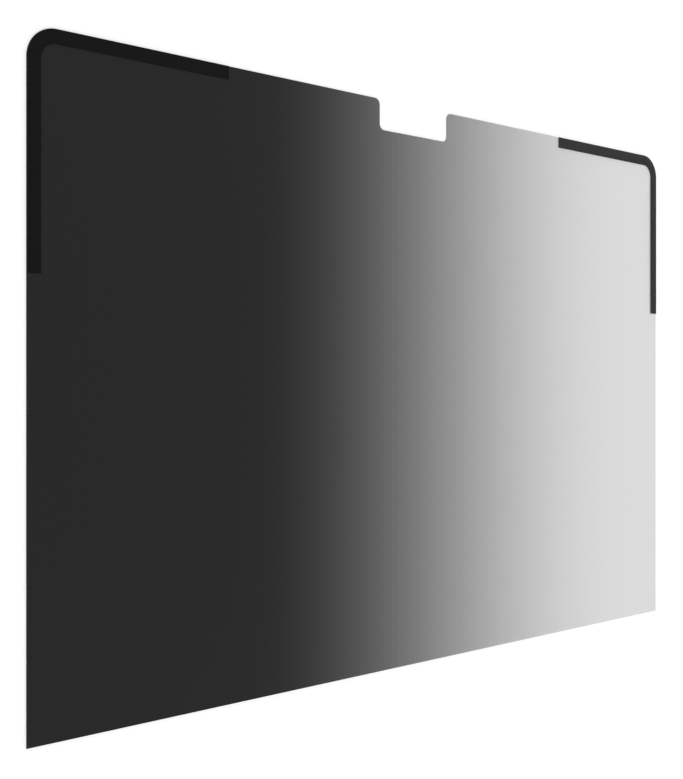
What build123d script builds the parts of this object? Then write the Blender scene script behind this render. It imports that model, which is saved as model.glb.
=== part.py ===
"""Laptop privacy filter: a die-cut louvre film with a camera notch, and two corner strips bonded to its face.

The filter lies flat on its back face, as it rests on a table, with the strips on top. The origin is on
the table, under the middle of the sheet's outline. Seen from above, +X is to the right and +Y is towards
the notched edge. +Z is up, and all sizes are in millimetres.
"""

import os

from build123d import *

# Film sheet: round upper corners, square lower ones
SHEET_WIDTH = 308.0
SHEET_HEIGHT = 203.4
SHEET_THICKNESS = 0.5
UPPER_CORNER_RADIUS = 9.2

# Camera notch, in the middle of the upper edge
NOTCH_WIDTH = 34.8
NOTCH_DEPTH = 10.9
NOTCH_MOUTH_RADIUS = 2.2
NOTCH_FLOOR_RADIUS = 2.2

# Corner strips: the legs are measured from the sheet's upper corner, along its two edges
STRIP_WIDTH = 4.3
STRIP_THICKNESS = 0.25
STRIP_LEVEL_LEG = 70.0
STRIP_UPRIGHT_LEG = 70.0

LEFT_EDGE = -SHEET_WIDTH / 2
UPPER_EDGE = SHEET_HEIGHT / 2


def blank_outline():
    """The sheet's outline before the notch is cut."""
    blank = Rectangle(SHEET_WIDTH, SHEET_HEIGHT)
    upper_corners = blank.vertices().group_by(Axis.Y)[-1]
    return fillet(upper_corners, UPPER_CORNER_RADIUS)


def notch_corners(outline):
    """The notch's corners, the four nearest the middle of the sheet: its floor's pair, then its mouth's."""
    from_middle = outline.vertices().sort_by(lambda vertex: abs(vertex.X))
    return from_middle[:4].group_by(Axis.Y)


def notched_outline():
    """The blank with the camera notch cut into its upper edge, and the notch's corners rounded."""
    notch = Pos(0, UPPER_EDGE) * Rectangle(NOTCH_WIDTH, NOTCH_DEPTH, align=(Align.CENTER, Align.MAX))
    outline = blank_outline() - notch
    outline = fillet(notch_corners(outline)[-1], NOTCH_MOUTH_RADIUS)
    return fillet(notch_corners(outline)[0], NOTCH_FLOOR_RADIUS)


def corner_band():
    """The left strip in plan: a band of even width along the blank's edge, cut square at each leg's end."""
    blank = blank_outline()
    border = blank - offset(blank, -STRIP_WIDTH)
    upper_left = Pos(LEFT_EDGE, UPPER_EDGE)
    reach = upper_left * Rectangle(STRIP_LEVEL_LEG, STRIP_UPRIGHT_LEG, align=(Align.MIN, Align.MAX))
    return border & reach


def privacy_sheet():
    """The film: louvres and cover layers laminated into one sheet, with the table under its back face."""
    return extrude(notched_outline(), SHEET_THICKNESS)


def left_corner_strip():
    """The strip round the upper left corner, flat on the sheet's face and flush with its edge."""
    return Pos(0, 0, SHEET_THICKNESS) * extrude(corner_band(), STRIP_THICKNESS)


def right_corner_strip():
    """The left strip's mirror image, round the upper right corner."""
    return mirror(left_corner_strip(), about=Plane.YZ)


os.makedirs("parts", exist_ok=True)
for piece in (privacy_sheet, left_corner_strip, right_corner_strip):
    export_step(piece(), f"parts/{piece.__name__}.step")
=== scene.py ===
from math import pi, radians

import bmesh
import bpy
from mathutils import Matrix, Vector


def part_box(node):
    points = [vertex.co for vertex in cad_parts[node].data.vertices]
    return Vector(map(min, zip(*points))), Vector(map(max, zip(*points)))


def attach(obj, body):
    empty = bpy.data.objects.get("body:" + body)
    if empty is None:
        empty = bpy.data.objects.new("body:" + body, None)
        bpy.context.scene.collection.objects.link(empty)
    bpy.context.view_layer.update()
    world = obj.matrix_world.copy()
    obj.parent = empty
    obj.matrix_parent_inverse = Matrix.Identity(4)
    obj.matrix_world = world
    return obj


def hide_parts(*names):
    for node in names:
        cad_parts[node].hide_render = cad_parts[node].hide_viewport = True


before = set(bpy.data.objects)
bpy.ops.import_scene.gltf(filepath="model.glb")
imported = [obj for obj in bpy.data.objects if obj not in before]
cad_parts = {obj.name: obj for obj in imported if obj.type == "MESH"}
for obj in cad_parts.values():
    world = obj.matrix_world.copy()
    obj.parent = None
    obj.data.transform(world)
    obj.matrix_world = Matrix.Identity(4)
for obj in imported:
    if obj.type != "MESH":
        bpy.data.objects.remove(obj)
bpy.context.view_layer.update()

# Film sheet
# The filter itself: fine black louvres sealed between clear layers, laminated into one stiff film with a
# satin face and die-cut to the screen's outline. A notch in its upper edge clears the laptop's camera.
FILM_CORNER_RADIUS = 0.0092
FILM_CORNER_STEPS = 24
NOTCH_WIDTH = 0.0348
NOTCH_DEPTH = 0.0109
NOTCH_RADIUS = 0.0022
NOTCH_CORNER_STEPS = 12
FILM_EDGE_BREAK = 0.00004
EDGE_BREAK_STEPS = 3
SHARP_EDGE = radians(60)
SAME_PLANE = radians(1)
SAME_PLACE = 0.00001
FLATNESS = 100


def start_plate(name, low, high):
    """Adds a flat plate over the box from low to high, level with its top, and opens it for editing."""
    bpy.ops.object.select_all(action="DESELECT")
    bpy.ops.mesh.primitive_plane_add(size=1.0)
    plate = bpy.context.object
    plate.name = name
    plate.data.name = name
    bpy.ops.object.mode_set(mode="EDIT")
    bpy.ops.mesh.select_mode(type="VERT")
    bpy.ops.transform.resize(value=(high.x - low.x, high.y - low.y, 1.0), center_override=(0, 0, 0))
    bpy.ops.transform.translate(value=((low.x + high.x) / 2, (low.y + high.y) / 2, high.z))
    return plate


def cut_out(left, lower, right, upper):
    """Cuts the plate along a rectangle's sides, takes out what lies inside and heals the other cuts."""
    for place, normal in (
        ((left, 0, 0), (1, 0, 0)),
        ((right, 0, 0), (1, 0, 0)),
        ((0, lower, 0), (0, 1, 0)),
        ((0, upper, 0), (0, 1, 0)),
    ):
        bpy.ops.mesh.select_all(action="SELECT")
        bpy.ops.mesh.bisect(plane_co=place, plane_no=normal)
    bpy.ops.mesh.select_all(action="DESELECT")
    mesh = bmesh.from_edit_mesh(bpy.context.edit_object.data)
    for face in mesh.faces:
        middle = face.calc_center_median()
        face.select_set(left < middle.x < right and lower < middle.y < upper)
    bpy.ops.mesh.delete(type="FACE")
    bpy.ops.mesh.select_all(action="SELECT")
    bpy.ops.mesh.dissolve_limited(angle_limit=SAME_PLANE)


def round_corners(places, radius, steps):
    """Rounds the plate's corners at these places in plan, each with an arc of so many steps."""
    bpy.ops.mesh.select_all(action="DESELECT")
    mesh = bmesh.from_edit_mesh(bpy.context.edit_object.data)
    for vertex in mesh.verts:
        vertex.select_set(any((vertex.co.xy - Vector(place)).length < SAME_PLACE for place in places))
    bpy.ops.mesh.bevel(offset=radius, offset_type="OFFSET", segments=steps, affect="VERTICES")


def finish_plate(plate, thickness, edge_break):
    """Gives the plate its thickness, downwards, breaks its sharp edges and shades its broad faces flat."""
    bpy.ops.mesh.select_all(action="SELECT")
    bpy.ops.mesh.extrude_region_move(TRANSFORM_OT_translate={"value": (0, 0, -thickness)})
    bpy.ops.mesh.select_all(action="SELECT")
    bpy.ops.mesh.normals_make_consistent(inside=False)
    bpy.ops.object.mode_set(mode="OBJECT")
    rounding = plate.modifiers.new("Edge break", "BEVEL")
    rounding.width = edge_break
    rounding.segments = EDGE_BREAK_STEPS
    rounding.limit_method = "ANGLE"
    rounding.angle_limit = SHARP_EDGE
    bpy.ops.object.modifier_apply(modifier=rounding.name)
    bpy.ops.object.shade_smooth()
    flattening = plate.modifiers.new("Flat faces", "WEIGHTED_NORMAL")
    flattening.weight = FLATNESS
    bpy.ops.object.modifier_apply(modifier=flattening.name)


film_low, film_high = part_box("privacy_sheet")
film = start_plate("film_sheet", film_low, film_high)
notch_side = NOTCH_WIDTH / 2
notch_floor = film_high.y - NOTCH_DEPTH
cut_out(-notch_side, notch_floor, notch_side, film_high.y)
upper_corners = [(x, film_high.y) for x in (film_low.x, film_high.x)]
round_corners(upper_corners, FILM_CORNER_RADIUS, FILM_CORNER_STEPS)
notch_corners = [(x, y) for x in (-notch_side, notch_side) for y in (notch_floor, film_high.y)]
round_corners(notch_corners, NOTCH_RADIUS, NOTCH_CORNER_STEPS)
finish_plate(film, film_high.z - film_low.z, FILM_EDGE_BREAK)

# The louvres shut out the view on the left and open towards the right, so the film goes from black to a
# clear pale grey. They aren't quite even, which leaves fine upright streaks.
CLEARING_STARTS = -0.0847
CLEARING_ENDS = 0.1555
SHUT_COLOUR = (0.0115, 0.0115, 0.0117, 1)
OPEN_COLOUR = (0.611, 0.611, 0.615, 1)
OPEN_ALPHA = 0.45
STREAK_SIZE = 0.0006
STREAK_DETAIL = 4
STREAK_CONTRAST = 0.03
GRAIN_SIZE = 0.0005
GRAIN_DETAIL = 2
GRAIN_DEPTH = 0.00002
WAVE_SIZE = 0.09
WAVE_DETAIL = 1
WAVE_DEPTH = 0.0005
FILM_ROUGHNESS = (0.35, 0.45)
FILM_SPECULAR = 0.125
NOISE_SPAN = (0.3, 0.7)
WALL_TO_FACE = (0.5, 0.9)


def start_finish(name):
    """Starts a material, and gives it with its nodes and its shader."""
    finish = bpy.data.materials.new(name)
    finish.use_nodes = True
    return finish, finish.node_tree, finish.node_tree.nodes["Principled BSDF"]


def add_node(tree, kind, settings=None, **inputs):
    """Adds a shader node of this kind, with its settings, and sets or links its inputs."""
    node = tree.nodes.new("ShaderNode" + kind)
    for name, value in (settings or {}).items():
        setattr(node, name, value)
    for name, value in inputs.items():
        feed(tree, node.inputs[name.replace("_", " ")], value)
    return node


def feed(tree, socket, value):
    """Links another node's output to a socket, or sets the socket to a plain value."""
    if isinstance(value, bpy.types.NodeSocket):
        tree.links.new(value, socket)
    else:
        socket.default_value = value


def on_piece(tree):
    """The place of each point on the piece."""
    return add_node(tree, "TexCoord").outputs["Object"]


def rightwards(tree, place):
    """How far to the right of the sheet's middle a place is."""
    return add_node(tree, "SeparateXYZ", Vector=place).outputs["X"]


def work_out(tree, operation, first, second=0.0):
    """Does a sum on one or two values."""
    node = add_node(tree, "Math", {"operation": operation})
    feed(tree, node.inputs[0], first)
    feed(tree, node.inputs[1], second)
    return node.outputs["Value"]


def spread(tree, value, span, result, curve="LINEAR"):
    """Takes a value's span to the span of a result, and keeps it inside."""
    node = add_node(
        tree, "MapRange", {"interpolation_type": curve}, Value=value,
        From_Min=span[0], From_Max=span[1], To_Min=result[0], To_Max=result[1],
    )
    return node.outputs["Result"]


def speckle(tree, place, size, detail, result):
    """Noise over the piece in lumps of about this size, taken to the span of a result."""
    noise = add_node(tree, "TexNoise", Vector=place, Scale=1 / size, Detail=detail)
    return spread(tree, noise.outputs["Fac"], NOISE_SPAN, result)


def around_one(change):
    """A span from as much below 1 as above it."""
    return 1 - change, 1 + change


def blend(tree, share, first, second):
    """Goes from the first colour to the second as the share goes from 0 to 1, and on past it."""
    settings = {"data_type": "RGBA", "clamp_factor": False}
    return add_node(tree, "Mix", settings, Factor=share, A=first, B=second).outputs["Result"]


def scale(tree, colour, amount):
    """Makes a colour lighter or darker by this amount."""
    node = add_node(tree, "VectorMath", {"operation": "SCALE"}, Vector=colour, Scale=amount)
    return node.outputs["Vector"]


def cut_edges(tree):
    """1 on the piece's upright walls, where it was cut, and 0 on its broad faces."""
    facing = add_node(tree, "SeparateXYZ", Vector=add_node(tree, "NewGeometry").outputs["Normal"])
    return spread(tree, work_out(tree, "ABSOLUTE", facing.outputs["Z"]), WALL_TO_FACE, (1, 0))


film_finish, tree, shader = start_finish("Louvre film")
place = on_piece(tree)
across = rightwards(tree, place)
clearing = spread(tree, across, (CLEARING_STARTS, CLEARING_ENDS), (0, 1), "SMOOTHERSTEP")
streaks = add_node(
    tree, "TexNoise", {"noise_dimensions": "1D"}, W=across, Scale=1 / STREAK_SIZE, Detail=STREAK_DETAIL
)
evenness = spread(tree, streaks.outputs["Fac"], NOISE_SPAN, around_one(STREAK_CONTRAST))
openness = work_out(tree, "MULTIPLY", clearing, evenness)
grey = blend(tree, openness, SHUT_COLOUR, OPEN_COLOUR)
feed(tree, shader.inputs["Base Color"], scale(tree, grey, evenness))

# The film is seen through where it is open, apart from its cut edges. Only the face towards the light and
# the eye counts, so that looking through the sheet doesn't meet it twice.
see_through = work_out(tree, "MULTIPLY", openness, 1 - OPEN_ALPHA)
solidity = work_out(tree, "MAXIMUM", work_out(tree, "SUBTRACT", 1.0, see_through), cut_edges(tree))
front = work_out(tree, "SUBTRACT", 1.0, add_node(tree, "NewGeometry").outputs["Backfacing"])
feed(tree, shader.inputs["Alpha"], work_out(tree, "MULTIPLY", solidity, front))

# Its face has a satin grain, and lies not quite flat.
feed(tree, shader.inputs["Roughness"], speckle(tree, place, GRAIN_SIZE, GRAIN_DETAIL, FILM_ROUGHNESS))
wave_height = speckle(tree, place, WAVE_SIZE, WAVE_DETAIL, (0, 1))
waves = add_node(tree, "Bump", Height=wave_height, Distance=WAVE_DEPTH)
grain_height = speckle(tree, place, GRAIN_SIZE, GRAIN_DETAIL, (0, 1))
grain = add_node(
    tree, "Bump", Height=grain_height, Distance=GRAIN_DEPTH, Normal=waves.outputs["Normal"]
)
feed(tree, shader.inputs["Normal"], grain.outputs["Normal"])
shader.inputs["Specular IOR Level"].default_value = FILM_SPECULAR

film.data.materials.append(film_finish)
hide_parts("privacy_sheet")
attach(film, "root")

# Corner strips
# Two thin strips of flexible black plastic, cut to an L with legs of equal length and stuck to the film
# round its upper corners. They hold the filter to the screen's border, and mirror each other.
STRIP_WIDTH = 0.0043
STRIP_EDGE_BREAK = 0.00007

strip_low, strip_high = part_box("left_corner_strip")
left_strip = start_plate("left_strip", strip_low, strip_high)
inner_corner = (strip_low.x + STRIP_WIDTH, strip_high.y - STRIP_WIDTH)
cut_out(inner_corner[0], strip_low.y, strip_high.x, inner_corner[1])
round_corners([(strip_low.x, strip_high.y)], FILM_CORNER_RADIUS, FILM_CORNER_STEPS)
round_corners([inner_corner], FILM_CORNER_RADIUS - STRIP_WIDTH, FILM_CORNER_STEPS)
finish_plate(left_strip, strip_high.z - strip_low.z, STRIP_EDGE_BREAK)

# Matt black with a fine pebbled grain and a faint mottle. The right strip is painted paler: a painted
# sheen.
LEFT_BLACK = (0.0043, 0.0043, 0.0044, 1)
# The right strip's paler black is a painted sheen, standing in for its reflection of the bright surround.
RIGHT_BLACK_AND_PAINTED_SHEEN = (0.028, 0.028, 0.0284, 1)
LEFT_TO_RIGHT = (-0.05, 0.05)
PEBBLE_SIZE = 0.0007
PEBBLE_DETAIL = 3
PEBBLE_DEPTH = 0.00006
MOTTLE_SIZE = 0.003
MOTTLE_DETAIL = 5
MOTTLE_CONTRAST = 0.16
STRIP_ROUGHNESS = (0.47, 0.63)
STRIP_SPECULAR = 0.06

strip_finish, tree, shader = start_finish("Black strip")
place = on_piece(tree)
# Painted sheen: the colour goes from the left strip's black to the right strip's painted paler black.
painted_sheen_share = spread(tree, rightwards(tree, place), LEFT_TO_RIGHT, (0, 1))
black_and_painted_sheen = blend(tree, painted_sheen_share, LEFT_BLACK, RIGHT_BLACK_AND_PAINTED_SHEEN)
mottle = speckle(tree, place, MOTTLE_SIZE, MOTTLE_DETAIL, around_one(MOTTLE_CONTRAST))
feed(tree, shader.inputs["Base Color"], scale(tree, black_and_painted_sheen, mottle))
feed(tree, shader.inputs["Roughness"], speckle(tree, place, MOTTLE_SIZE, MOTTLE_DETAIL, STRIP_ROUGHNESS))
pebble_height = speckle(tree, place, PEBBLE_SIZE, PEBBLE_DETAIL, (0, 1))
pebbles = add_node(tree, "Bump", Height=pebble_height, Distance=PEBBLE_DEPTH)
feed(tree, shader.inputs["Normal"], pebbles.outputs["Normal"])
shader.inputs["Specular IOR Level"].default_value = STRIP_SPECULAR
left_strip.data.materials.append(strip_finish)

bpy.ops.object.duplicate()
right_strip = bpy.context.object
right_strip.name = "right_strip"
right_strip.data.name = "right_strip"
bpy.ops.object.mode_set(mode="EDIT")
bpy.ops.mesh.select_all(action="SELECT")
bpy.ops.transform.resize(value=(-1, 1, 1), center_override=(0, 0, 0))
bpy.ops.mesh.normals_make_consistent(inside=False)
bpy.ops.object.mode_set(mode="OBJECT")

for strip, node in ((left_strip, "left_corner_strip"), (right_strip, "right_corner_strip")):
    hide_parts(node)
    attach(strip, "root")

# Floor
# A plain white table top. What the camera sees of it, straight on, in a reflection or through the film, is
# lifted to white, and it still takes the filter's shadow.
FLOOR_SIZE = 12.0
FLOOR_DROP = 0.00005
FLOOR_COLOUR = (0.8, 0.8, 0.8, 1)
FLOOR_ROUGHNESS = 1.0
FLOOR_SPECULAR = 0.0
FLOOR_LIFT = 0.23
WHITE = (1, 1, 1, 1)


def in_sight(tree):
    """1 for the rays by which the camera sees a surface, and 0 for the rays that light things."""
    rays = add_node(tree, "LightPath").outputs
    mirrored_or_through = work_out(tree, "MAXIMUM", rays["Is Glossy Ray"], rays["Is Transmission Ray"])
    return work_out(tree, "MAXIMUM", rays["Is Camera Ray"], mirrored_or_through)


bpy.ops.object.select_all(action="DESELECT")
bpy.ops.mesh.primitive_plane_add(size=FLOOR_SIZE, location=(0, 0, -FLOOR_DROP))
floor = bpy.context.object
floor.name = "floor"
floor_finish, tree, shader = start_finish("White table")
shader.inputs["Base Color"].default_value = FLOOR_COLOUR
shader.inputs["Roughness"].default_value = FLOOR_ROUGHNESS
shader.inputs["Specular IOR Level"].default_value = FLOOR_SPECULAR
shader.inputs["Emission Color"].default_value = WHITE
feed(tree, shader.inputs["Emission Strength"], work_out(tree, "MULTIPLY", in_sight(tree), FLOOR_LIFT))
floor.data.materials.append(floor_finish)

# Light
# A white studio: an even surround that is brighter low down than overhead, and one broad soft lamp from
# the front left. Together they light a level surface at a strength of about 1.
SURROUND_LOW = 1.0
SURROUND_OVERHEAD = 0.35
SURROUND_SEEN = 1.0
LAMP_SHARE = 0.53
LAMP_TILT = radians(35)
LAMP_TURN = radians(-60)
LAMP_BREADTH = radians(50)

world = bpy.data.worlds.new("White surround")
bpy.context.scene.world = world
world.use_nodes = True
tree = world.node_tree
direction = add_node(tree, "TexCoord").outputs["Generated"]
upwards = add_node(tree, "SeparateXYZ", Vector=direction).outputs["Z"]
brightness = spread(tree, upwards, (0, 1), (SURROUND_LOW, SURROUND_OVERHEAD))
strength = add_node(tree, "Mix", Factor=in_sight(tree), A=brightness, B=SURROUND_SEEN)
background = tree.nodes["Background"]
background.inputs["Color"].default_value = WHITE
feed(tree, background.inputs["Strength"], strength.outputs["Result"])

bpy.ops.object.light_add(type="SUN", rotation=(LAMP_TILT, 0, LAMP_TURN))
lamp = bpy.context.object
lamp.name = "soft_lamp"
lamp.data.energy = LAMP_SHARE * pi
lamp.data.angle = LAMP_BREADTH

# Camera
# It looks down across the sheet from beyond its left edge, turned so that the sheet's left and right edges
# run along the sides of the frame.
CAMERA_PLACE = (-0.315175, 0.001123, 0.312299)
CAMERA_TILT = radians(-41.871)
CAMERA_LENS = 56.069
CAMERA_SHIFT = -0.00977
NEAREST_SEEN = 0.01

bpy.ops.object.camera_add(location=CAMERA_PLACE, rotation=(0, CAMERA_TILT, 0))
camera = bpy.context.object
camera.data.lens = CAMERA_LENS
camera.data.shift_y = CAMERA_SHIFT
camera.data.clip_start = NEAREST_SEEN
bpy.context.scene.camera = camera
bpy.context.scene.view_settings.view_transform = "Standard"
